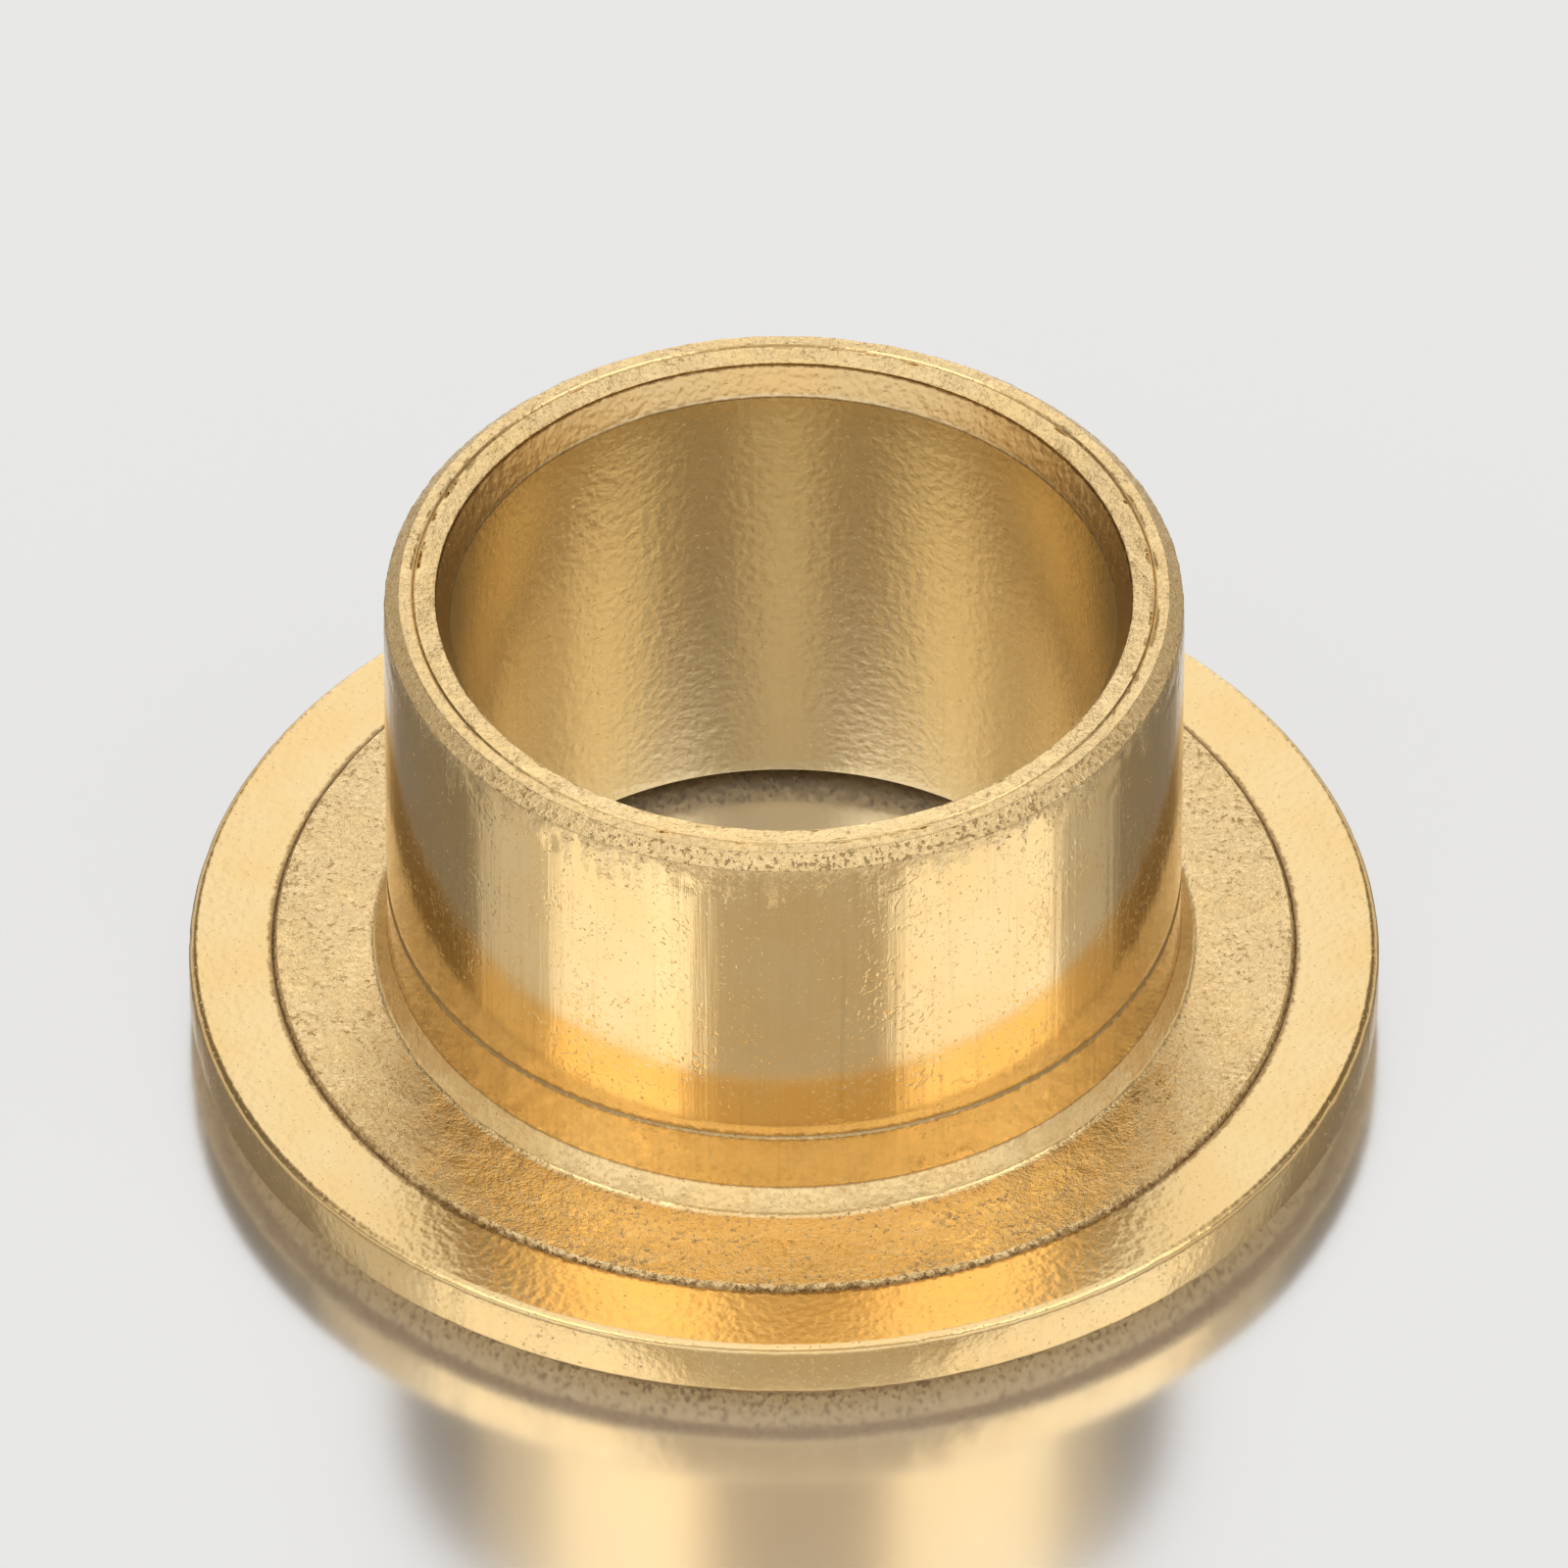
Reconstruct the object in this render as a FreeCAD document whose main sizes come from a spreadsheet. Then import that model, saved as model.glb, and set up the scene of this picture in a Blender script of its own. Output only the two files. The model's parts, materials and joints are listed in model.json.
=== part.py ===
import FreeCAD, Part
import os
import Sketcher

# Flanged bushing, pressed from brass powder, sintered and then sized, all in one piece.
# It stands on the outer face of its flange: the origin is the centre of that face, and
# +Z runs up the sleeve along the bore. All sizes are in millimetres.

SIZES = {
    # the plain bearing itself
    "bore_diameter": 10.0,
    "wall_thickness": 1.0,
    "sleeve_length": 7.0,
    "flange_overhang": 3.0,
    "flange_thickness": 1.5,
    # outer face of the flange: a proud flat, a steep bevel and a narrow land at the rim
    "face_step": 0.08,
    "bevel_width": 0.32,
    "bevel_depth": 0.46,
    "land_width": 0.28,
    "land_drop": 0.05,
    "rim_face_fillet": 0.08,
    "rim_back_fillet": 0.14,
    # back of the flange: a smooth outer ring, pressed lower than the grainy annulus inside it
    "ring_width": 1.25,
    "ring_recess": 0.1,
    "ring_step_slope": 0.07,
    # foot of the sleeve: a low cone, left where the sizing die stops short of the flange
    "collar_rise": 0.2,
    "collar_height": 0.4,
    "root_fillet": 0.1,
    # free end of the sleeve
    "end_chamfer_width": 0.22,
    "end_chamfer_depth": 0.2,
    "lip_width": 0.22,
    "lip_step": 0.1,
    "lip_depth": 0.55,
    # mouth of the bore in the flange's outer face
    "mouth_width": 0.5,
    "mouth_step": 0.05,
    "mouth_depth": 0.32,
}

SHEET_NAME = "dims"
MATCH = 1e-4

# The sides of the half section in order round its outline, named by what each one forms.
SIDES = [
    "face", "face_edge", "bevel", "land", "rim", "ring", "ring_step", "annulus", "collar",
    "sleeve", "end_chamfer", "end_land", "lip_step", "lip_cone", "bore", "mouth_cone",
    "mouth_edge",
]
LEVEL_SIDES = ["face", "ring", "annulus", "end_land"]
UPRIGHT_SIDES = ["face_edge", "rim", "sleeve", "lip_step", "bore", "mouth_edge"]
START, END = 1, 2
ORIGIN = (-1, 1)
RADIAL_AXIS = -1


def make_sheet(doc):
    """Put every driving dimension in the spreadsheet, one row each, with its alias."""
    sheet = doc.addObject("Spreadsheet::Sheet", SHEET_NAME)
    for row, (name, value) in enumerate(SIZES.items(), start=1):
        sheet.set("A%d" % row, name)
        sheet.set("B%d" % row, str(value))
        sheet.setAlias("B%d" % row, name)
    doc.recompute()
    return sheet


def origin_plane(body, role):
    """The body's own origin plane with this role."""
    return next(item for item in body.Origin.OriginFeatures if item.Role == role)


def section_corners(size):
    """Start point of each side of the half section, as radius and height."""
    bore = size("bore_diameter") / 2
    sleeve = bore + size("wall_thickness")
    rim = sleeve + size("flange_overhang")
    back = size("flange_thickness")
    end = back + size("sleeve_length")
    bevel_foot = rim - size("land_width")
    face = bevel_foot - size("bevel_width")
    ring = back - size("ring_recess")
    step = rim - size("ring_width")
    collar = sleeve + size("collar_rise")
    lip = bore + size("lip_width")
    mouth = bore + size("mouth_width")
    return [
        (mouth, 0.0),
        (face, 0.0),
        (face, size("face_step")),
        (bevel_foot, size("bevel_depth")),
        (rim, size("bevel_depth") + size("land_drop")),
        (rim, ring),
        (step, ring),
        (step - size("ring_step_slope"), back),
        (collar, back),
        (sleeve, back + size("collar_height")),
        (sleeve, end - size("end_chamfer_depth")),
        (sleeve - size("end_chamfer_width"), end),
        (lip, end),
        (lip, end - size("lip_step")),
        (bore, end - size("lip_depth")),
        (bore, size("mouth_depth")),
        (mouth, size("mouth_step")),
    ]


def hold_distance(sketch, kind, name, first, second, expression=None):
    """Hold the distance between two points, by default to the size of the same name."""
    index = sketch.addConstraint(Sketcher.Constraint(kind, *first, *second, 1.0))
    sketch.renameConstraint(index, name)
    sketch.setExpression("Constraints." + name, expression or SHEET_NAME + "." + name)


def draw_section(body, size):
    """Half section on the XZ plane, closed and fully held by the driving dimensions."""
    sketch = body.newObject("Sketcher::SketchObject", "half_section")
    sketch.AttachmentSupport = (origin_plane(body, "XZ_Plane"), [""])
    sketch.MapMode = "FlatFace"
    corners = [FreeCAD.Vector(radius, height, 0) for radius, height in section_corners(size)]
    side = {name: index for index, name in enumerate(SIDES)}
    after = {index: (index + 1) % len(SIDES) for index in range(len(SIDES))}
    for index in range(len(SIDES)):
        sketch.addGeometry(Part.LineSegment(corners[index], corners[after[index]]), False)
    for index in range(len(SIDES)):
        sketch.addConstraint(Sketcher.Constraint("Coincident", index, END, after[index], START))
    for name in LEVEL_SIDES:
        sketch.addConstraint(Sketcher.Constraint("Horizontal", side[name]))
    for name in UPRIGHT_SIDES:
        sketch.addConstraint(Sketcher.Constraint("Vertical", side[name]))
    sketch.addConstraint(Sketcher.Constraint("PointOnObject", side["face"], START, RADIAL_AXIS))

    def across(name, first, second, expression=None):
        hold_distance(sketch, "DistanceX", name, first, second, expression)

    def up(name, first, second):
        hold_distance(sketch, "DistanceY", name, first, second)

    across("bore_radius", ORIGIN, (side["bore"], START), SHEET_NAME + ".bore_diameter / 2")
    across("wall_thickness", (side["bore"], START), (side["sleeve"], START))
    across("flange_overhang", (side["sleeve"], START), (side["rim"], START))
    up("flange_thickness", ORIGIN, (side["annulus"], START))
    up("sleeve_length", (side["annulus"], START), (side["end_land"], START))

    up("face_step", (side["face_edge"], START), (side["face_edge"], END))
    across("bevel_width", (side["bevel"], START), (side["bevel"], END))
    up("bevel_depth", ORIGIN, (side["bevel"], END))
    across("land_width", (side["land"], START), (side["land"], END))
    up("land_drop", (side["land"], START), (side["land"], END))

    across("ring_width", (side["ring"], END), (side["ring"], START))
    up("ring_recess", (side["ring"], END), (side["annulus"], START))
    across("ring_step_slope", (side["ring_step"], END), (side["ring_step"], START))

    across("collar_rise", (side["collar"], END), (side["collar"], START))
    up("collar_height", (side["collar"], START), (side["collar"], END))

    across("end_chamfer_width", (side["end_chamfer"], END), (side["end_chamfer"], START))
    up("end_chamfer_depth", (side["end_chamfer"], START), (side["end_chamfer"], END))
    across("lip_width", (side["bore"], START), (side["lip_step"], START))
    up("lip_step", (side["lip_step"], END), (side["lip_step"], START))
    up("lip_depth", (side["bore"], START), (side["end_land"], END))

    across("mouth_width", (side["bore"], END), (side["mouth_edge"], END))
    up("mouth_step", (side["mouth_edge"], END), (side["mouth_edge"], START))
    up("mouth_depth", ORIGIN, (side["bore"], END))
    return sketch


def round_edge_name(shape, radius, height):
    """Name of the circular edge of this radius at this height."""
    for index, edge in enumerate(shape.Edges, start=1):
        circle = edge.Curve
        if not isinstance(circle, Part.Circle):
            continue
        if abs(circle.Radius - radius) < MATCH and abs(circle.Center.z - height) < MATCH:
            return "Edge%d" % index
    raise RuntimeError("no circular edge of radius %g at height %g" % (radius, height))


def add_fillet(body, base, name, radius, height):
    """Round the circular edge at this radius and height, by the size of the same name."""
    fillet = body.newObject("PartDesign::Fillet", name)
    fillet.Base = (base, [round_edge_name(base.Shape, radius, height)])
    fillet.setExpression("Radius", SHEET_NAME + "." + name)
    body.Document.recompute()
    return fillet


def make_bushing(doc, size):
    """The whole bushing: its section turned about the bore's axis, then the rounded edges."""
    body = doc.addObject("PartDesign::Body", "flanged_bushing")
    body.Label = "flanged_bushing"
    sketch = draw_section(body, size)
    doc.recompute()
    turned = body.newObject("PartDesign::Revolution", "turned_section")
    turned.Profile = sketch
    turned.ReferenceAxis = (sketch, ["V_Axis"])
    turned.Angle = 360.0
    doc.recompute()

    sleeve_radius = size("bore_diameter") / 2 + size("wall_thickness")
    rim_radius = sleeve_radius + size("flange_overhang")
    collar_radius = sleeve_radius + size("collar_rise")
    annulus_height = size("flange_thickness")
    ring_height = annulus_height - size("ring_recess")
    land_height = size("bevel_depth") + size("land_drop")
    feature = add_fillet(body, turned, "rim_back_fillet", rim_radius, ring_height)
    feature = add_fillet(body, feature, "rim_face_fillet", rim_radius, land_height)
    feature = add_fillet(body, feature, "root_fillet", collar_radius, annulus_height)
    body.Tip = feature
    body.Placement = FreeCAD.Placement()
    doc.recompute()
    return body


def check_document(doc, bodies):
    """Stop if an object failed, the sketch is loose, or a sub-part isn't one sound solid."""
    for item in doc.Objects:
        if "Invalid" in item.State or "Error" in item.State:
            raise RuntimeError("%s is %s" % (item.Name, item.State))
    if not doc.getObject("half_section").FullyConstrained:
        raise RuntimeError("the half section isn't fully held by its dimensions")
    for body in bodies:
        shape = body.Shape
        if shape.isNull() or not shape.isValid() or len(shape.Solids) != 1:
            raise RuntimeError("%s isn't one valid solid" % body.Label)


def main():
    doc = FreeCAD.newDocument("flanged_bushing_model")
    sheet = make_sheet(doc)
    bushing = make_bushing(doc, sheet.get)
    check_document(doc, [bushing])
    os.makedirs("parts", exist_ok=True)
    bushing.Shape.exportStep("parts/%s.step" % bushing.Label)
    box = bushing.Shape.optimalBoundingBox()
    print("%s: %.2f x %.2f x %.2f mm, %.1f cubic mm" % (
        bushing.Label, box.XLength, box.YLength, box.ZLength, bushing.Shape.Volume))


main()
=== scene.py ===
# %% [markdown]
# # A flanged bushing, pressed from brass powder
#
# A flanged bushing is a plain bearing: a shaft turns in its bore, its sleeve sits tight in a hole,
# and its flange takes the push along the shaft. This one is powder metal. Brass powder is pressed
# to shape, baked until the grains join, and then forced through a polished die that brings it to
# size. So it has two skins. Where the die rubbed it is bright and finely streaked along the bore.
# Where the die never touched it, at the lips, the bevel and the root, it is still grainy.
#
# The lesson draws half of its section, turns that round the bore, roughens the skin where the real
# one is rough, and gives both skins one material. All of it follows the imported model's frame.

import json
import math

import bmesh
import bpy
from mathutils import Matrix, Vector, noise


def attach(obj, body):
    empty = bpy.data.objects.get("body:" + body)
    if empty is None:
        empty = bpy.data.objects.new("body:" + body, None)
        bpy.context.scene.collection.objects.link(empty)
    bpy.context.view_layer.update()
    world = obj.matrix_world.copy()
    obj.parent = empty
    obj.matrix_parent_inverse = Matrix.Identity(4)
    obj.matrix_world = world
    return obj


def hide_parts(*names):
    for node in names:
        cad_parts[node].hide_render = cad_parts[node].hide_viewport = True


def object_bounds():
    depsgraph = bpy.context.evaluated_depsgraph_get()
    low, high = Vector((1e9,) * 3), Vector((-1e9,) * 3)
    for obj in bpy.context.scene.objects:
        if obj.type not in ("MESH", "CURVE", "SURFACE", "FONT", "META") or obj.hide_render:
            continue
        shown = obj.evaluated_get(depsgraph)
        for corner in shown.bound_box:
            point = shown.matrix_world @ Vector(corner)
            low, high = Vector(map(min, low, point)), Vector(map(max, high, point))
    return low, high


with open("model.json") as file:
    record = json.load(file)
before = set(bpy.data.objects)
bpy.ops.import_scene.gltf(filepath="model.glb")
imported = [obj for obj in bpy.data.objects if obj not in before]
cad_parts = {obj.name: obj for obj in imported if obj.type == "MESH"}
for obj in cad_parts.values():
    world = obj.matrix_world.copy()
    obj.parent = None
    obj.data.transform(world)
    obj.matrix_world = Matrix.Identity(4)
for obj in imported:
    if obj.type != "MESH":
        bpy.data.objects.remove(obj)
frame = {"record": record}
cad_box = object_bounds()
print("frame box in metres:", [tuple(round(x, 5) for x in corner) for corner in cad_box])

# %% [markdown]
# ## Sizes that come from the frame
#
# The bearing's own sizes aren't typed in again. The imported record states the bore, the sleeve and
# the two faces of the flange as mounts, and the box gives the rim and the height. Millimetres
# suit a part this small, so the section is drawn in millimetres and scaled once at the end.

# %% Sizes from the frame
MM = 0.001
mounts = {mount["name"]: mount for mount in frame["record"]["mounts"]}


def wall_ends(name):
    """Lower and upper end of a round mount's wall, in millimetres."""
    middle = mounts[name]["pos_m"][2] / MM
    half = mounts[name]["dims"]["length_mm"] / 2
    return round(middle - half, 3), round(middle + half, 3)


bore = mounts["bore"]["dims"]["r_mm"]
sleeve = mounts["sleeve_outside"]["dims"]["r_mm"]
flange_back = mounts["flange_back"]["pos_m"][2] / MM
rim = round(cad_box[1].x / MM, 3)
top = round(cad_box[1].z / MM, 3)
mouth_cone_top, lip_cone_foot = wall_ends("bore")
collar_top, chamfer_foot = wall_ends("sleeve_outside")
print("bore", bore, "sleeve", sleeve, "rim", rim, "flange", flange_back, "height", top)

# %% [markdown]
# ## Marks of the press and the die
#
# These are the small forms that the photograph shows at the edges, each a tenth of a millimetre or
# so. The press leaves steps where its punches meet, a ring pressed lower near the rim and a fine
# groove beside the lip. The sizing die stops short of the flange, so a low cone stays at the foot
# of the sleeve. A fine mark runs round the wall 1.4 mm above the flange, probably where the edge of
# the die rested.

# %% Fine sizes of the edges
FACE_STEP = 0.08
BEVEL_WIDTH = 0.32
BEVEL_DEPTH = 0.46
LAND_WIDTH = 0.28
LAND_DROP = 0.05
RING_WIDTH = 1.25
RING_RECESS = 0.1
RING_STEP_SLOPE = 0.07
COLLAR_RISE = 0.2
DIE_MARK_RISE = 1.41
DIE_MARK_DEPTH = 0.022
DIE_MARK_BELOW = 0.03
DIE_MARK_DEEPEST = 0.02
DIE_MARK_ABOVE = 0.22
CHAMFER_WIDTH = 0.22
GROOVE_RADIUS = 5.56
GROOVE_WIDTH = 0.06
GROOVE_DEPTH = 0.035
LIP_WIDTH = 0.22
LIP_CREST_FALL = 0.01
LIP_FALL = 0.055
LIP_STEP = 0.1
MOUTH_WIDTH = 0.5
MOUTH_STEP = 0.05

# %% [markdown]
# ## The half section
#
# Each corner has a name, its radius and height, and the radius that rounds it. A real edge is
# never perfectly sharp, and a rounded one catches a thin line of light, so even the crisp steps get
# a hundredth or two. Two more numbers tell about the side that starts there: its grain, from 0 for
# closed metal to 1 for raw powder, and its dullness, from 0 for polished to 1 for pebbled.

# %% Corners of the half section
bevel_foot = rim - LAND_WIDTH
face_edge = bevel_foot - BEVEL_WIDTH
ring_foot = rim - RING_WIDTH
ring_height = flange_back - RING_RECESS
collar = sleeve + COLLAR_RISE
lip = bore + LIP_WIDTH
mouth = bore + MOUTH_WIDTH
die_mark = flange_back + DIE_MARK_RISE

CORNERS = [
    # name, radius, height, rounding, then grain and dullness of the side that starts here
    ("mouth edge", mouth, 0.0, 0.015, 0.0, 0.4),
    ("face edge", face_edge, 0.0, 0.012, 0.5, 0.8),
    ("bevel top", face_edge, FACE_STEP, 0.02, 1.0, 1.0),
    ("bevel foot", bevel_foot, BEVEL_DEPTH, 0.03, 0.5, 0.8),
    ("rim front", rim, BEVEL_DEPTH + LAND_DROP, 0.08, 0.2, 0.6),
    ("rim back", rim, ring_height, 0.14, 0.0, 0.68),
    ("ring foot", ring_foot, ring_height, 0.02, 0.7, 0.6),
    ("ring top", ring_foot - RING_STEP_SLOPE, flange_back, 0.03, 0.45, 0.5),
    ("root", collar, flange_back, 0.10, 0.25, 0.6),
    ("collar top", sleeve, collar_top, 0.015, 0.0, 0.05),
    ("mark foot", sleeve, die_mark - DIE_MARK_BELOW, 0.02, 0.0, 0.05),
    ("die mark", sleeve - DIE_MARK_DEPTH, die_mark + DIE_MARK_DEEPEST, 0.03, 0.0, 0.05),
    ("mark top", sleeve, die_mark + DIE_MARK_ABOVE, 0.5, 0.0, 0.0),
    ("chamfer foot", sleeve, chamfer_foot, 0.06, 1.0, 0.9),
    ("chamfer top", sleeve - CHAMFER_WIDTH, top, 0.05, 0.38, 0.75),
    ("groove edge", GROOVE_RADIUS + GROOVE_WIDTH / 2, top, 0.01, 0.1, 0.6),
    ("groove", GROOVE_RADIUS, top - GROOVE_DEPTH, 0.008, 0.1, 0.6),
    ("lip crest", GROOVE_RADIUS - GROOVE_WIDTH / 2, top - LIP_CREST_FALL, 0.01, 0.34, 0.75),
    ("lip edge", lip, top - LIP_FALL, 0.012, 0.0, 0.4),
    ("lip foot", lip, top - LIP_STEP, 0.012, 0.0, 0.85),
    ("cone foot", bore, lip_cone_foot, 0.04, 0.0, 0.75),
    ("bore end", bore, mouth_cone_top, 0.05, 0.6, 0.8),
    ("mouth foot", mouth, MOUTH_STEP, 0.02, 0.3, 0.6),
]
print(len(CORNERS), "corners, from", CORNERS[0][0], "round to", CORNERS[-1][0])

# %% [markdown]
# ## Rounding a corner with the bevel operator
#
# A vertex bevel on a flat face rounds that corner in its plane. Its offset is measured along the
# sides, so a corner that turns by an angle needs an offset of the radius times the tangent of half
# that angle. The face is only a helper: once its outline is rounded, the face goes and the edges
# stay.

# %% Section outline with rounded corners
ARC_SEGMENTS = 5


def turn_at(index):
    """How far the outline turns at this corner, in radians."""
    here = Vector(CORNERS[index][1:3])
    before = Vector(CORNERS[index - 1][1:3])
    after = Vector(CORNERS[(index + 1) % len(CORNERS)][1:3])
    return (here - before).angle(after - here)


def draw_section(mesh):
    """Put the rounded outline into the mesh as a closed loop of edges, on the XZ plane."""
    corners = [mesh.verts.new((corner[1], 0, corner[2])) for corner in CORNERS]
    mesh.faces.new(corners)
    for index, corner in enumerate(corners):
        offset = CORNERS[index][3] * math.tan(turn_at(index) / 2)
        bmesh.ops.bevel(
            mesh, geom=[corner], offset=offset, offset_type="OFFSET", affect="VERTICES",
            segments=ARC_SEGMENTS, profile=0.5, material=-1,
        )
    bmesh.ops.delete(mesh, geom=mesh.faces[:], context="FACES_ONLY")


section = bmesh.new()
draw_section(section)
print("rounded outline:", len(section.verts), "points")

# %% [markdown]
# ## Which skin belongs where
#
# Grain, streaks and dullness are kept as three numbers on every point, so the mesh and the
# material agree on where the metal is raw. The sleeve is special: the die smears the raw grain of
# the chamfer down the wall for about a millimetre, so there the grain fades out instead of stopping
# at the edge.

# %% Grain, streaks and dullness at a point of the section
SMEAR_LENGTH = 1.0
SMEAR_GRAIN = 0.6
SMEAR_FADING = 1.8
STREAKED = {
    "collar top": 1.0, "mark foot": 1.0, "die mark": 1.0, "mark top": 1.0, "cone foot": 0.3,
    "rim front": 0.5,
}


def distance_to_side(point, index):
    """Distance from a point of the section plane to one side of the outline."""
    start = Vector(CORNERS[index][1:3])
    along = Vector(CORNERS[(index + 1) % len(CORNERS)][1:3]) - start
    share = (point - start).dot(along) / along.length_squared
    return (point - start - along * min(max(share, 0.0), 1.0)).length


def skin_at(radius, height):
    """Grain, streaks and dullness of the nearest side, each from 0 to 1."""
    point = Vector((radius, height))
    nearest = min(range(len(CORNERS)), key=lambda index: distance_to_side(point, index))
    name, grain, dullness = CORNERS[nearest][0], CORNERS[nearest][4], CORNERS[nearest][5]
    if name == "mark top":
        smeared = 1 - (chamfer_foot - height) / SMEAR_LENGTH
        grain = SMEAR_GRAIN * max(smeared, 0.0) ** SMEAR_FADING
    return grain, STREAKED.get(name, 0.0), dullness


print("grain half way up the sleeve:", skin_at(sleeve, top / 2)[0])
print("grain just under the chamfer:", round(skin_at(sleeve, chamfer_foot - 0.1)[0], 2))

# %% [markdown]
# ## More points where the skin is rough
#
# Polished stretches need few points, because nothing on them moves. Raw stretches are cut into
# steps of a few hundredths of a millimetre, so that grains and pits can be pushed into the mesh
# itself and show in the outline, instead of being painted on. Two level cuts come first, where the
# smear on the wall ends and just inside the mouth, so that the grain stops there.

# %% Cut the outline to size
GRAIN_STEP = 0.065
SMOOTH_STEP = 1.1
ROUGH_FROM = 0.25
WALL_TOLERANCE = 0.01
CUT_TOLERANCE = 1e-6
GRAINY_MOUTH_HEIGHT = 0.2


def cut_outline(mesh):
    """Subdivide each long edge of the outline by the step that its skin needs."""
    for edge in mesh.edges[:]:
        middle = (edge.verts[0].co + edge.verts[1].co) / 2
        near_end = middle.x > sleeve - WALL_TOLERANCE and middle.z > smear_start
        grain = skin_at(middle.x, middle.z)[0]
        step = GRAIN_STEP if grain > ROUGH_FROM or near_end else SMOOTH_STEP
        cuts = math.ceil(edge.calc_length() / step) - 1
        if cuts > 0:
            bmesh.ops.subdivide_edges(mesh, edges=[edge], cuts=cuts)


smear_start = chamfer_foot - SMEAR_LENGTH
grainy_mouth_end = mouth_cone_top + GRAINY_MOUTH_HEIGHT
for cut_height in (smear_start, grainy_mouth_end):
    bmesh.ops.bisect_plane(
        section, geom=section.verts[:] + section.edges[:], dist=CUT_TOLERANCE,
        plane_co=(0, 0, cut_height), plane_no=(0, 0, 1),
    )
cut_outline(section)
skin_layer = section.verts.layers.float_vector.new("skin")
for point in section.verts:
    point[skin_layer] = skin_at(point.co.x, point.co.z)
print("outline for turning:", len(section.verts), "points")

# %% [markdown]
# ## Turn the section
#
# The spin operator does what a lathe does: it repeats the outline round an axis and joins the
# copies with faces. A full turn meets its own start, so the doubled points there are merged.
# The normals are then made to point outwards, because a spin can leave them either way round.

# %% Spin round the bore
TURN_STEPS = 450
SEAM_TOLERANCE = 1e-5

bmesh.ops.spin(
    section, geom=section.verts[:] + section.edges[:], cent=(0, 0, 0), axis=(0, 0, 1),
    dvec=(0, 0, 0), angle=math.tau, steps=TURN_STEPS, use_merge=True,
)
bmesh.ops.remove_doubles(section, verts=section.verts[:], dist=SEAM_TOLERANCE)
bmesh.ops.recalc_face_normals(section, faces=section.faces[:])
print("turned:", len(section.faces), "faces,", sum(len(f.verts) - 2 for f in section.faces), "triangles")

# %% [markdown]
# ## Press the grain into the mesh
#
# Powder grains are about a tenth of a millimetre across, and the raw skin shows them as shallow
# lumps with deeper gaps between. Each raw point moves inwards along its own normal, never
# outwards, so the part keeps its size. Wider lumps let the raw edges waver a little on their way
# round, as a pressed edge does. Each noise is shifted by its own amount, so that lumps, grains and
# pits don't line up.

# %% Grain as geometry
LUMP_SIZE = 0.32
GRAIN_SIZE = 0.13
LUMP_DEPTH = 0.014
GRAIN_DEPTH = 0.022
PIT_SPREAD = 1.3
PITS_FROM = 0.36
PIT_DEPTH = 0.035
RAGGEDNESS = 0.35
RAW_FROM = 0.2
RAW_SPAN = 0.4
GRAIN_SHIFT = Vector((7, 3, 5))
PIT_SHIFT = Vector((41, 17, 29))
RAGGED_SHIFT = Vector((3, 90, 11))


def grain_depth(place, grain):
    """How far in this point of the raw skin lies, in millimetres."""
    lumps = 0.5 + 0.5 * noise.noise(place / LUMP_SIZE)
    grains = 0.5 + 0.5 * noise.noise(place / GRAIN_SIZE + GRAIN_SHIFT)
    gaps = noise.noise(place / (PIT_SPREAD * GRAIN_SIZE) + PIT_SHIFT)
    pits = max(gaps - PITS_FROM, 0.0) / (1 - PITS_FROM)
    ragged = RAGGEDNESS * noise.noise(place / LUMP_SIZE + RAGGED_SHIFT)
    raw = min(max((grain + ragged - RAW_FROM) / RAW_SPAN, 0.0), 1.0)
    return raw * (LUMP_DEPTH * lumps + GRAIN_DEPTH * grains + PIT_DEPTH * pits)


section.normal_update()
moves = []
for point in section.verts:
    grain = point[skin_layer].x
    depth = grain_depth(point.co, grain) if grain > 0 else 0.0
    moves.append((point, point.normal * -depth))
for point, move in moves:
    point.co += move
print("deepest pit: %.3f mm" % max(move.length for _, move in moves))

# %% [markdown]
# ## Make it the visible piece
#
# The mesh is scaled to metres and becomes one object at the origin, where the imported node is. It
# rides on the same body and stands for that node, which stays hidden for the physics.

# %% The bushing's object
bmesh.ops.scale(section, vec=(MM, MM, MM), verts=section.verts[:])
for face in section.faces:
    face.smooth = True
bushing_mesh = bpy.data.meshes.new("bushing_skin")
section.to_mesh(bushing_mesh)
section.free()
bushing = bpy.data.objects.new("bushing_skin", bushing_mesh)
bpy.context.scene.collection.objects.link(bushing)
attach(bushing, "root")
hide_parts("flanged_bushing")
print("piece:", bushing.name, len(bushing_mesh.vertices), "points")

# %% [markdown]
# ## Small helpers for the material
#
# A node material is a graph. These helpers add a node, feed its inputs and hand back its output,
# so that each later cell reads like a recipe, with one line for each step. A pair of numbers such
# as RAW_BORDER, in the cells below, says where a fade starts and where it is full.

# %% Node helpers
brass = bpy.data.materials.new("sintered_brass")
brass.use_nodes = True
tree = brass.node_tree
tree.nodes.clear()


def node(kind, inputs=(), output=0, **settings):
    """Add a node, set its properties and inputs by name or number, and return one output."""
    made = tree.nodes.new(kind)
    for name, value in settings.items():
        setattr(made, name, value)
    for socket, value in dict(inputs).items():
        if isinstance(value, bpy.types.NodeSocket):
            tree.links.new(value, made.inputs[socket])
        else:
            made.inputs[socket].default_value = value
    return made.outputs[output] if made.outputs else made


def math_node(operation, *values):
    """One Math node with these values or sockets as its inputs."""
    return node("ShaderNodeMath", enumerate(values), operation=operation)


def fade(value, low, high):
    """0 below low, 1 above high, smooth between. It falls where low is the larger number."""
    return node(
        "ShaderNodeMapRange", {"Value": value, "From Min": low, "From Max": high},
        interpolation_type="SMOOTHSTEP",
    )


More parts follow.
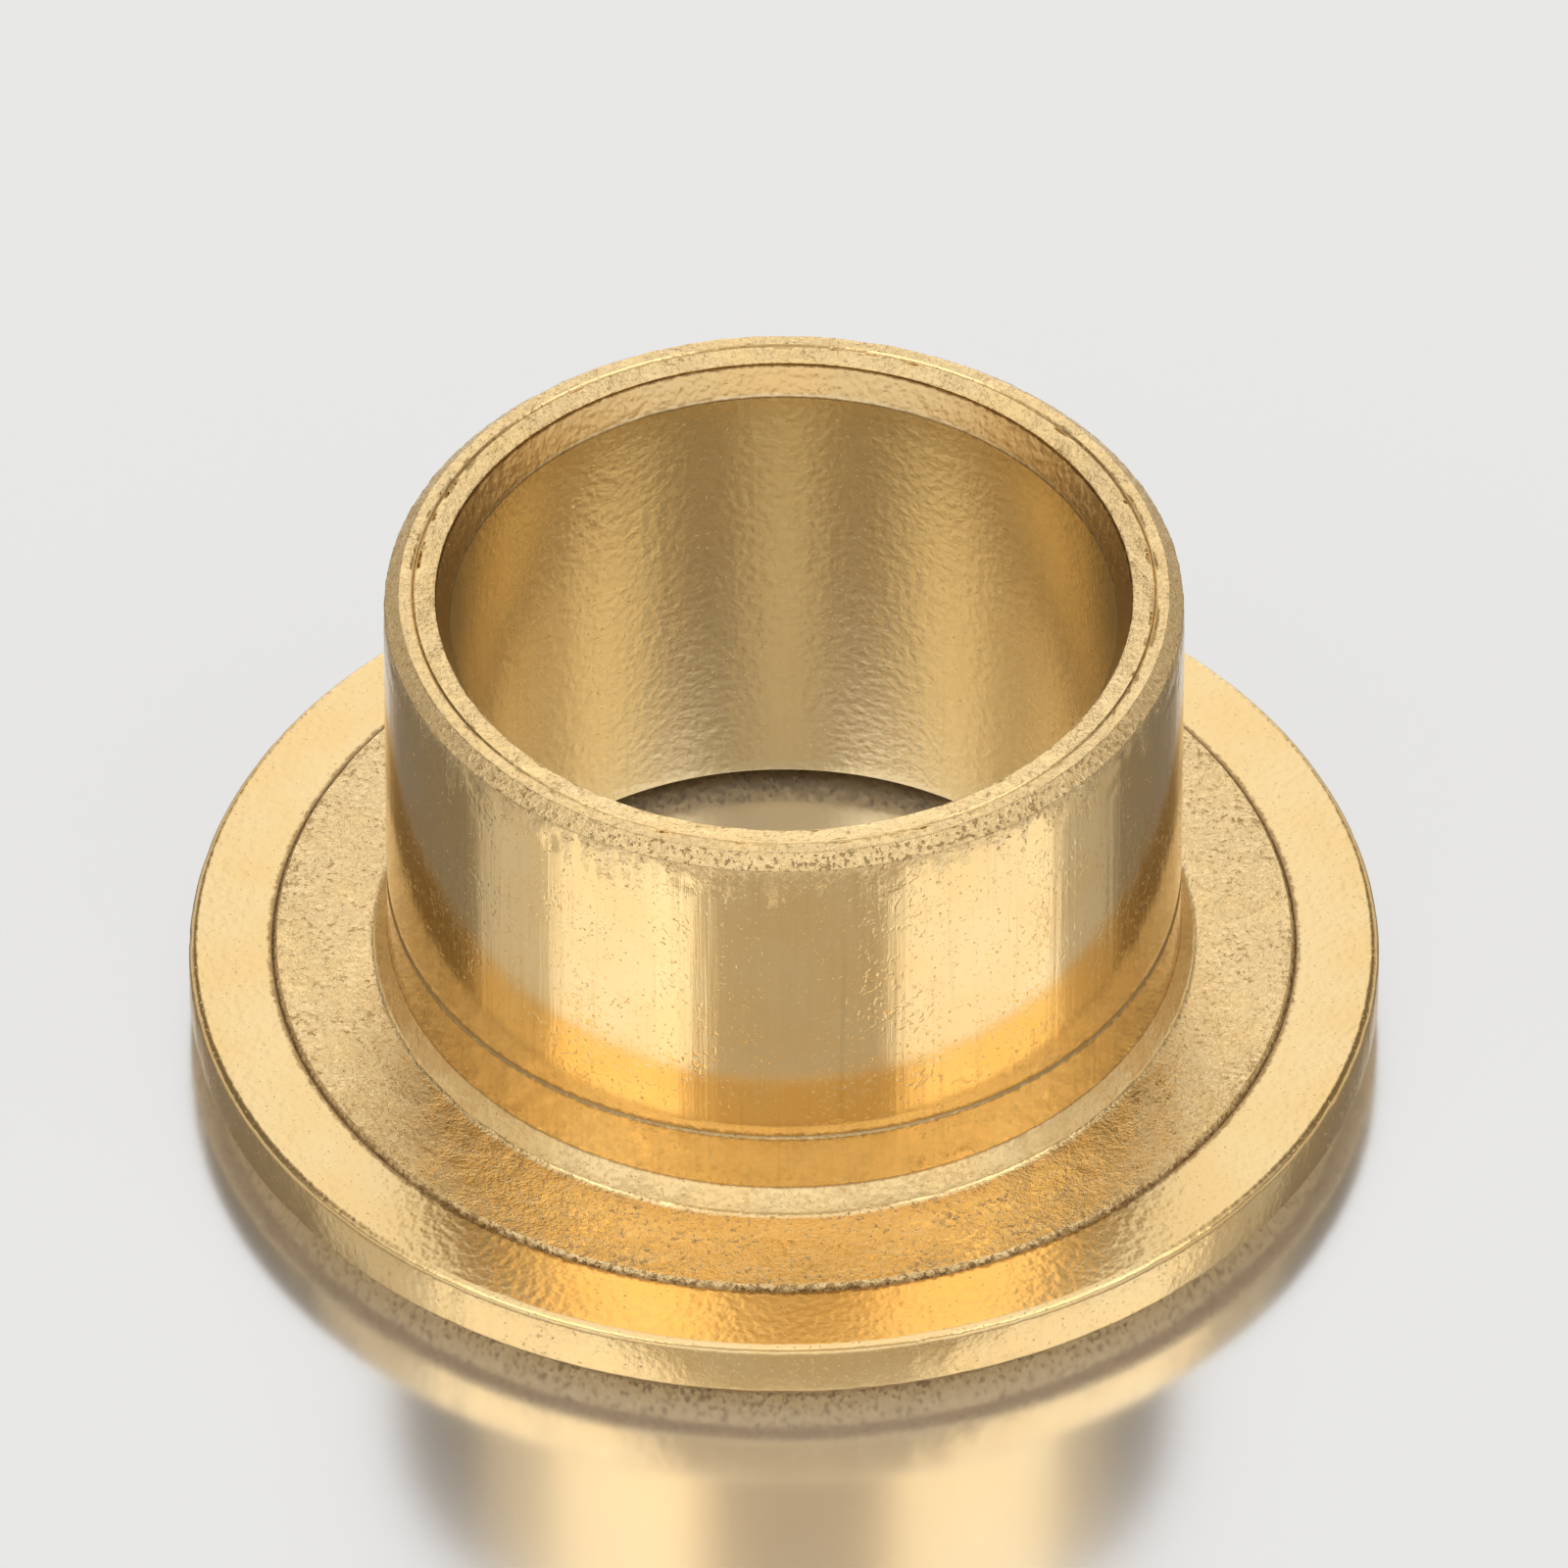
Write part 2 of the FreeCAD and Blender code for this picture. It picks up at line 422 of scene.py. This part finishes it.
def between(share, low, high):
    """Number that goes from low to high as the share goes from 0 to 1."""
    return node("ShaderNodeMix", {0: share, 2: low, 3: high}, data_type="FLOAT")


def speckle(place, size, detail=2.0, roughness=0.5):
    """Cloudy noise from 0 to 1 with features of this size in millimetres."""
    return node(
        "ShaderNodeTexNoise",
        {"Vector": place, "Scale": 1 / size, "Detail": detail, "Roughness": roughness},
        noise_dimensions="3D",
    )


def unevenness(place, size, **settings):
    """The same noise, centred on 0."""
    return math_node("SUBTRACT", speckle(place, size, **settings), 0.5)


# %% [markdown]
# ## Where on the metal
#
# Object coordinates are in metres, so they are scaled to millimetres first. The streaks need a
# second set: the direction round the axis times the sleeve's radius, and a height that is pressed
# together, so that a round speck becomes a long thin line along the wall. Because it uses the
# direction and not the angle, it has no seam. A third set is the place in the section, by which
# something can be put near a circle round the axis.

# %% Places on the surface
STREAK_STRETCH = 0.03
BORE_STARTS = 0.04
BORE_FULL = 0.01

here = node("ShaderNodeTexCoord", output="Object")
place = node("ShaderNodeVectorMath", {0: here, "Scale": 1 / MM}, operation="SCALE")
split = tree.nodes.new("ShaderNodeSeparateXYZ")
tree.links.new(place, split.inputs[0])
flat_place = node("ShaderNodeCombineXYZ", {"X": split.outputs["X"], "Y": split.outputs["Y"]})
around = node("ShaderNodeVectorMath", {0: flat_place}, operation="NORMALIZE")
around_mm = node("ShaderNodeVectorMath", {0: around, "Scale": sleeve}, operation="SCALE")
squeezed = node(
    "ShaderNodeCombineXYZ", {"Z": math_node("MULTIPLY", split.outputs["Z"], STREAK_STRETCH)}
)
streak_place = node("ShaderNodeVectorMath", {0: around_mm, 1: squeezed}, operation="ADD")

skin = node("ShaderNodeAttribute", output="Vector", attribute_name="skin")
skin_parts = tree.nodes.new("ShaderNodeSeparateXYZ")
tree.links.new(skin, skin_parts.inputs[0])
grain_here = skin_parts.outputs["X"]
wall_here = skin_parts.outputs["Y"]
dull_here = skin_parts.outputs["Z"]

reach = node("ShaderNodeVectorMath", {0: flat_place}, output="Value", operation="LENGTH")
section_place = node("ShaderNodeCombineXYZ", {"X": reach, "Z": split.outputs["Z"]})
in_bore = fade(reach, bore + BORE_STARTS, bore + BORE_FULL)


def distance_from(radius, height):
    """Distance from the circle of this radius and height, in millimetres."""
    return node(
        "ShaderNodeVectorMath", {0: section_place, 1: (radius, 0, height)},
        output="Value", operation="DISTANCE",
    )


print("nodes so far:", len(tree.nodes))

# %% [markdown]
# ## Raw or polished
#
# The border between the two skins is ragged on the real part, because the die smears whole grains
# and presses some places harder than others. So noise is added to the grain number before it is cut
# off: a fine one for single grains, a cloudy one for patches, and on the wall a third one drawn out
# along the bore, for the smears.

# %% Mask of the raw skin
BORDER_GRAIN = 0.09
PATCH_SIZE = 0.8
PATCH_SHARE = 0.5
SMEAR_WIDTH = 0.28
SMEAR_SHARE = 1.6
SMEARED_GRAIN = (0.0, 0.08)
RAW_BORDER = (0.22, 0.62)

patches = unevenness(place, PATCH_SIZE)
fine_border = unevenness(place, BORDER_GRAIN, detail=4.0, roughness=0.65)
ragged = math_node("ADD", grain_here, fine_border)
ragged = math_node("MULTIPLY_ADD", patches, PATCH_SHARE, ragged)
smears = unevenness(streak_place, SMEAR_WIDTH, detail=3.0, roughness=0.6)
smeared_here = math_node("MULTIPLY", wall_here, fade(grain_here, *SMEARED_GRAIN))
ragged = math_node("MULTIPLY_ADD", math_node("MULTIPLY", smears, smeared_here), SMEAR_SHARE, ragged)
raw = fade(ragged, *RAW_BORDER)
print("nodes so far:", len(tree.nodes))

# %% [markdown]
# ## Pores, dimples and streaks
#
# Sintered metal is full of holes. Where the skin is raw they show as pores, which are painted dark
# later as painted shade in the pits, and they gather along the step of the flange's ring, where two
# punches met. The die closes them on the sized walls and leaves only fine ones, a few shallow
# dimples, and streaks along its own way. In the bore nearly all are closed.

# %% Masks of the pores, the dimples and the streaks
PORE_SIZE = 0.085
PORE_EDGE = (0.61, 0.75)
PORES_WITH_GRAIN = 0.07
PORES_WITH_PATCHES = 0.12
PORES_AT_STEP = 0.07
STEP_REACH = (0.38, 0.02)
FINE_PORE_SIZE = 0.05
FINE_PORE_EDGE = (0.66, 0.78)
FINE_PORES_OUTSIDE = 0.4
FINE_PORES_IN_BORE = 0.1
DIMPLE_SIZE = 0.10
DIMPLE_EDGE = (0.58, 0.74)
STREAK_WIDTH = 0.10
WAVE_WIDTH = 0.55

many_pores = speckle(place, PORE_SIZE, detail=3.0, roughness=0.6)
many_pores = math_node("MULTIPLY_ADD", grain_here, PORES_WITH_GRAIN, many_pores)
many_pores = math_node("MULTIPLY_ADD", patches, PORES_WITH_PATCHES, many_pores)
# more pores along the ring's step, so the painted pore shade gathers along that crease
at_step = fade(distance_from(ring_foot - RING_STEP_SLOPE, flange_back), *STEP_REACH)
many_pores = math_node("MULTIPLY_ADD", at_step, PORES_AT_STEP, many_pores)
raw_pores = math_node("MULTIPLY", fade(many_pores, *PORE_EDGE), raw)
fine_pores = fade(speckle(place, FINE_PORE_SIZE), *FINE_PORE_EDGE)
open_share = between(in_bore, FINE_PORES_OUTSIDE, FINE_PORES_IN_BORE)
fine_pores = math_node("MULTIPLY", fine_pores, open_share)
pores = math_node("MAXIMUM", raw_pores, fine_pores)
dimples = math_node("MULTIPLY_ADD", patches, PATCH_SHARE, speckle(place, DIMPLE_SIZE))
dimples = fade(dimples, *DIMPLE_EDGE)
streaks = speckle(streak_place, STREAK_WIDTH, detail=4.0, roughness=0.62)
wide_streaks = speckle(streak_place, WAVE_WIDTH)
print("nodes so far:", len(tree.nodes))

# %% [markdown]
# ## Painted shade in the fine steps
#
# Thin dark lines are painted into every narrow corner as painted shade: along the step of the
# flange's ring, at the foot of the sleeve, inside the lip and in the other fine steps. Each line is
# the distance from a circle, and noise from -1 to 1 makes it wander.

# %% Painted shade lines
WANDER_SIZE = 0.11
WANDER_SHARE = 0.9
SHADE_LINE_CORE = 0.2

wander = speckle(place, WANDER_SIZE, detail=3.0, roughness=0.6)
wander = math_node("MULTIPLY_ADD", wander, 2.0, -1.0)

PAINTED_SHADE_LINES = [
    # radius, height, how far the painted shade reaches, how dark it is
    (ring_foot, ring_height, 0.09, 0.75),
    (sleeve, collar_top, 0.035, 0.5),
    (sleeve - DIE_MARK_DEPTH, die_mark + DIE_MARK_DEEPEST / 2, 0.10, 0.6),
    (lip, top - LIP_STEP, 0.045, 0.85),
    (bore, lip_cone_foot, 0.03, 0.6),
    (GROOVE_RADIUS, top - GROOVE_DEPTH, 0.03, 0.5),
    (face_edge, FACE_STEP, 0.05, 0.5),
    (mouth, MOUTH_STEP, 0.05, 0.6),
]


def painted_shade_line(radius, height, width, darkness):
    """Share of painted shade near the circle of this radius and height, in millimetres."""
    away = math_node("MULTIPLY_ADD", wander, WANDER_SHARE * width, distance_from(radius, height))
    line = fade(away, width, SHADE_LINE_CORE * width)
    return math_node("MULTIPLY", line, darkness)


painted_crease_shade = painted_shade_line(*PAINTED_SHADE_LINES[0])
for row in PAINTED_SHADE_LINES[1:]:
    painted_crease_shade = math_node("MAXIMUM", painted_crease_shade, painted_shade_line(*row))
print("nodes so far:", len(tree.nodes))

# %% [markdown]
# ## Colour
#
# Metal has no colour under its surface: the base colour is the tint of its reflection. Brass here
# is a warm straw yellow. Grains differ a little in copper, so the tint drifts. Light in the bore
# bounces several times and takes on more colour each time, so the bore is painted a paler tint to
# make up for it, a painted lighter copy of the brass. Pores are painted brown as painted shade in
# the pits, and dark painted shade lines go into the fine steps.

# %% Colour of the brass
STRAW = (0.94, 0.70, 0.355, 1)
COPPERY = (0.94, 0.67, 0.31, 1)
BORE_PAINTED_PALE = (0.98, 0.80, 0.48, 1)
RAW_STRAW = (0.95, 0.72, 0.38, 1)
RAW_SHADE = (0.84, 0.61, 0.30, 1)
STREAK_SHADE = (0.84, 0.62, 0.30, 1)
# colour of the painted shade in the pores
PORE_SHADE_BROWN = (0.36, 0.21, 0.07, 1)
# colour of the painted shade lines in the fine steps and corners
CREASE_SHADE_BROWN = (0.22, 0.11, 0.03, 1)
DRIFT_SIZE = 1.4
DRIFT_EDGE = (0.35, 0.65)
RAW_DRIFT_SIZE = 0.10
RAW_DRIFT_EDGE = (0.35, 0.62)
SHADED_STREAKS = (0.50, 0.75)
PORE_SHADE_SIZED = 0.3
PORE_SHADE_RAW = 0.6


def blend(share, first, second):
    """Mix of two colours or sockets: the first at 0, the second at 1."""
    return node(
        "ShaderNodeMix", {0: share, 6: first, 7: second}, output=2, data_type="RGBA"
    )


drift = fade(speckle(place, DRIFT_SIZE), *DRIFT_EDGE)
# Painted light: the bore gets a paler tint, which makes up for the colour that bounced light adds there.
tint = blend(in_bore, blend(drift, STRAW, COPPERY), BORE_PAINTED_PALE)
shaded_streaks = math_node("MULTIPLY", wall_here, fade(streaks, *SHADED_STREAKS))
tint = blend(shaded_streaks, tint, STREAK_SHADE)
raw_drift = speckle(place, RAW_DRIFT_SIZE, detail=3.0, roughness=0.6)
raw_drift = fade(raw_drift, *RAW_DRIFT_EDGE)
tint = blend(raw, tint, blend(raw_drift, RAW_SHADE, RAW_STRAW))
# Painted shade: the pores are painted brown, more strongly where the skin is raw.
pore_shade_share = between(grain_here, PORE_SHADE_SIZED, PORE_SHADE_RAW)
tint = blend(math_node("MULTIPLY", pores, pore_shade_share), tint, PORE_SHADE_BROWN)
# Painted shade: dark brown lines in the fine steps and corners.
tint = blend(painted_crease_shade, tint, CREASE_SHADE_BROWN)
print("nodes so far:", len(tree.nodes))

# %% [markdown]
# ## Shine
#
# Roughness is what tells the two skins apart. The polished metal mirrors softly, a little sharper
# along some streaks than along others. Dullness blurs that mirror. It is squared first, so that
# slightly dull faces stay close to polished. The raw metal glitters, and pores are duller still.

# %% Roughness
POLISHED_ROUGHNESS = 0.11
STREAK_ROUGHNESS = 0.03
DULL_ROUGHNESS = 0.38
RAW_ROUGHNESS = 0.23
PORE_ROUGHNESS = 0.65

sharpest = POLISHED_ROUGHNESS - STREAK_ROUGHNESS
shine = between(wide_streaks, sharpest, POLISHED_ROUGHNESS + STREAK_ROUGHNESS)
shine = between(math_node("MULTIPLY", dull_here, dull_here), shine, DULL_ROUGHNESS)
shine = between(raw, shine, RAW_ROUGHNESS)
shine = between(pores, shine, PORE_ROUGHNESS)
print("roughness: polished", POLISHED_ROUGHNESS, "raw", RAW_ROUGHNESS, "pores", PORE_ROUGHNESS)

# %% [markdown]
# ## Relief too fine for the mesh
#
# The bump adds what is smaller than the mesh's own steps: hair-thin streaks along the sized walls,
# a few dimples between them, a faint pebble on the dull faces, sugar-like grain on the raw skin,
# and the pores. Heights are real ones in millimetres: a streak is a few thousandths deep, a raw
# grain a few hundredths. The distance of the bump node turns them into metres.

# %% Bump
STREAK_HEIGHT = 0.003
WAVE_HEIGHT = 0.012
DIMPLE_HEIGHT = -0.0022
PEBBLE_HEIGHT = 0.012
PEBBLE_SIZE = 0.13
BORE_PEBBLE = 0.6
RAW_HEIGHT = 0.038
RAW_GRAIN_SIZE = 0.085
PORE_HEIGHT = -0.02

on_wall = math_node("MULTIPLY", wall_here, math_node("SUBTRACT", 1.0, raw))
pebble = speckle(place, PEBBLE_SIZE, detail=1.0)
raw_grain = speckle(place, RAW_GRAIN_SIZE, detail=4.0, roughness=0.6)
RELIEF = [
    # where it belongs, its pattern, its height in millimetres
    (on_wall, streaks, STREAK_HEIGHT),
    (on_wall, wide_streaks, WAVE_HEIGHT),
    (on_wall, dimples, DIMPLE_HEIGHT),
    (between(in_bore, dull_here, BORE_PEBBLE), pebble, PEBBLE_HEIGHT),
    (math_node("MULTIPLY", raw, grain_here), raw_grain, RAW_HEIGHT),
    (1.0, pores, PORE_HEIGHT),
]

relief = 0.0
for amount, pattern, most in RELIEF:
    relief = math_node("MULTIPLY_ADD", math_node("MULTIPLY", amount, pattern), most, relief)
bump = node("ShaderNodeBump", {"Height": relief, "Distance": MM, "Strength": 1.0})
print("relief in mm: streaks", STREAK_HEIGHT, "pebble", PEBBLE_HEIGHT, "raw grain", RAW_HEIGHT)

# %% [markdown]
# ## The shader
#
# One Principled shader takes it all. Metallic is 1 everywhere, a plain number on the socket.

# %% Brass shader
shader = node(
    "ShaderNodeBsdfPrincipled",
    {"Base Color": tint, "Metallic": 1.0, "Roughness": shine, "Normal": bump},
)
node("ShaderNodeOutputMaterial", {"Surface": shader})
bushing_mesh.materials.append(brass)
print("brass has", len(tree.nodes), "nodes")

# %% [markdown]
# ## Floor
#
# The bushing stands on a pale board with a hard glossy lacquer. The lacquer matters: the sleeve's
# wall looks down at the board, so what the board mirrors, soft lamps with a gap between them, is
# what the sleeve shows as two bright bands. The high index of refraction lets the lacquer mirror
# more than half of the light, and its roughness keeps the bushing's own mirror image soft.

# %% Floor and its lacquer
FLOOR_RADIUS = 1.5
BOARD = (0.46, 0.46, 0.46, 1)
LACQUER_ROUGHNESS = 0.17
LACQUER_IOR = 9.0

floor_form = bmesh.new()
bmesh.ops.create_circle(floor_form, cap_ends=True, radius=FLOOR_RADIUS, segments=96)
floor_mesh = bpy.data.meshes.new("floor")
floor_form.to_mesh(floor_mesh)
floor_form.free()
floor = bpy.data.objects.new("floor", floor_mesh)
bpy.context.scene.collection.objects.link(floor)

board = bpy.data.materials.new("pale_board")
board.use_nodes = True
board_shader = board.node_tree.nodes["Principled BSDF"]
board_shader.inputs["Base Color"].default_value = BOARD
board_shader.inputs["Roughness"].default_value = LACQUER_ROUGHNESS
board_shader.inputs["IOR"].default_value = LACQUER_IOR
floor_mesh.materials.append(board)
print("floor:", round(floor.dimensions.x, 2), "m across, under", bushing.name)

# %% [markdown]
# ## Light
#
# A lamp is placed by the direction it shines from, seen from the part, and its power is worked out
# from how bright it should look in a mirror. Two soft boxes stand left and right of the camera, and
# two weaker ones stand farther round, where the photograph shows half-bright bands.

# %% Soft boxes
LAMP_DISTANCE = 0.6
LAMP_ELEVATION = 43
LAMP_HEIGHT = 0.30
WATTS_FOR_WHITE = 4  # for each square metre of a soft box
SOFT_BOXES = [
    # name, azimuth in degrees, width in metres, brightness in a mirror
    ("soft_box_left", -48, 0.36, 1.18),
    ("soft_box_far_left", -85, 0.20, 0.50),
    ("soft_box_right", 58.5, 0.42, 1.12),
    ("soft_box_far_right", 95, 0.24, 0.32),
]
aim = Vector((0, 0, top * MM / 2))


def direction(azimuth, elevation):
    """Unit vector from the part. Azimuth 0 is towards the camera, 90 to its right."""
    turn, lift = math.radians(azimuth), math.radians(elevation)
    return Vector((math.sin(turn) * math.cos(lift), -math.cos(turn) * math.cos(lift), math.sin(lift)))


def soft_box(name, azimuth, width, brightness):
    """Area lamp of this width in metres, as bright as this in a mirror."""
    lamp = bpy.data.lights.new(name, "AREA")
    lamp.shape = "RECTANGLE"
    lamp.size = width
    lamp.size_y = LAMP_HEIGHT
    lamp.energy = WATTS_FOR_WHITE * width * LAMP_HEIGHT * brightness
    box = bpy.data.objects.new(name, lamp)
    away = direction(azimuth, LAMP_ELEVATION)
    box.location = aim + away * LAMP_DISTANCE
    box.rotation_euler = away.to_track_quat("Z", "Y").to_euler()
    bpy.context.scene.collection.objects.link(box)
    return box


boxes = [soft_box(*row) for row in SOFT_BOXES]
print("lamps:", [(box.name, round(box.data.energy, 3)) for box in boxes])

# %% [markdown]
# ## The room
#
# Most of what polished metal shows is the room. The wall behind the part and the ceiling are white,
# so the flat faces are bright. The side walls are dim and warm, and they give the dark stripes at
# both edges of the sleeve. A pale band runs all round at the height of the eyes, and a soft glow in
# front of the part fills the gap between the lamps. The node helpers build in the tree of that
# name, so it now becomes the room's.

# %% White room
DIM_WALL = 0.14
WHITE_WALL = 0.92
HORIZON_BACK = 0.6
HORIZON_FRONT = 1.0
FRONT_GLOW = 0.42
WARM_WHITE = (1.0, 0.84, 0.62, 1)
WHITE = (1.0, 1.0, 1.0, 1)
# where each field starts to show and where it is full, as cosines of the line of sight
BACK_WALL_EDGE = (0.50, 0.80)
BACK_WALL_SIDES = (0.37, 0.15)
CEILING_EDGE = (0.78, 0.92)
FRONT_EDGE = (0.3, 0.8)
HORIZON_EDGE = (0.45, 0.15)
GLOW_EDGE = (0.84, 0.97)
# brightness at which the warm tint starts to leave the walls, and at which they are white
WARM_TO_WHITE = (0.3, 1.0)

room = bpy.data.worlds.new("white_room")
bpy.context.scene.world = room
room.use_nodes = True
tree = room.node_tree
tree.nodes.clear()
looking = node("ShaderNodeTexCoord", output="Generated")
look_parts = tree.nodes.new("ShaderNodeSeparateXYZ")
tree.links.new(looking, look_parts.inputs[0])


def towards(azimuth, elevation):
    """Cosine of the angle between the line of sight and this direction."""
    aimed = {0: looking, 1: direction(azimuth, elevation)}
    return node("ShaderNodeVectorMath", aimed, output="Value", operation="DOT_PRODUCT")


upwards = look_parts.outputs["Z"]
sideways = math_node("ABSOLUTE", look_parts.outputs["X"])
back_wall = fade(towards(180, 45), *BACK_WALL_EDGE)
back_wall = math_node("MULTIPLY", back_wall, fade(sideways, *BACK_WALL_SIDES))
ceiling = math_node("MAXIMUM", back_wall, fade(upwards, *CEILING_EDGE))
band = between(fade(towards(0, 0), *FRONT_EDGE), HORIZON_BACK, HORIZON_FRONT)
horizon = math_node("MULTIPLY", fade(upwards, *HORIZON_EDGE), band)
glow = math_node("MULTIPLY_ADD", ceiling, WHITE_WALL, DIM_WALL)
glow = math_node("ADD", glow, horizon)
glow = math_node("MULTIPLY_ADD", fade(towards(0, 42), *GLOW_EDGE), FRONT_GLOW, glow)
wall_colour = blend(fade(glow, *WARM_TO_WHITE), WARM_WHITE, WHITE)
walls = node("ShaderNodeBackground", {"Color": wall_colour, "Strength": glow})
node("ShaderNodeOutputWorld", {"Surface": walls})
print("the room has", len(tree.nodes), "nodes")

# %% [markdown]
# ## Camera
#
# The photograph looks down at about 42 degrees from some 450 mm away, which was worked out from
# the ellipses of the rim, the sleeve and the edges of both faces. The long lens keeps that flat
# look, and the frame is closed in on the one bushing.

# %% Camera
CAMERA_ELEVATION = 42.4
CAMERA_DISTANCE = 0.45
FRAME_WIDTH = 0.0236
SENSOR_WIDTH = 36.0
LOOK_AT_HEIGHT = 0.0046

lens = bpy.data.cameras.new("camera")
lens.sensor_width = SENSOR_WIDTH
lens.lens = SENSOR_WIDTH * CAMERA_DISTANCE / FRAME_WIDTH
lens.clip_start = 0.01
lens.clip_end = 10
camera = bpy.data.objects.new("camera", lens)
look_at = Vector((0, 0, LOOK_AT_HEIGHT))
camera.location = look_at + direction(0, CAMERA_ELEVATION) * CAMERA_DISTANCE
camera.rotation_euler = direction(0, CAMERA_ELEVATION).to_track_quat("Z", "Y").to_euler()
bpy.context.scene.collection.objects.link(camera)
bpy.context.scene.camera = camera
print("lens: %.0f mm, camera %.2f m away" % (lens.lens, CAMERA_DISTANCE))

# %% [markdown]
# ## Plain colours
#
# The standard view shows the colours as they are computed, so pale brass stays pale.

bpy.context.scene.view_settings.view_transform = "Standard"
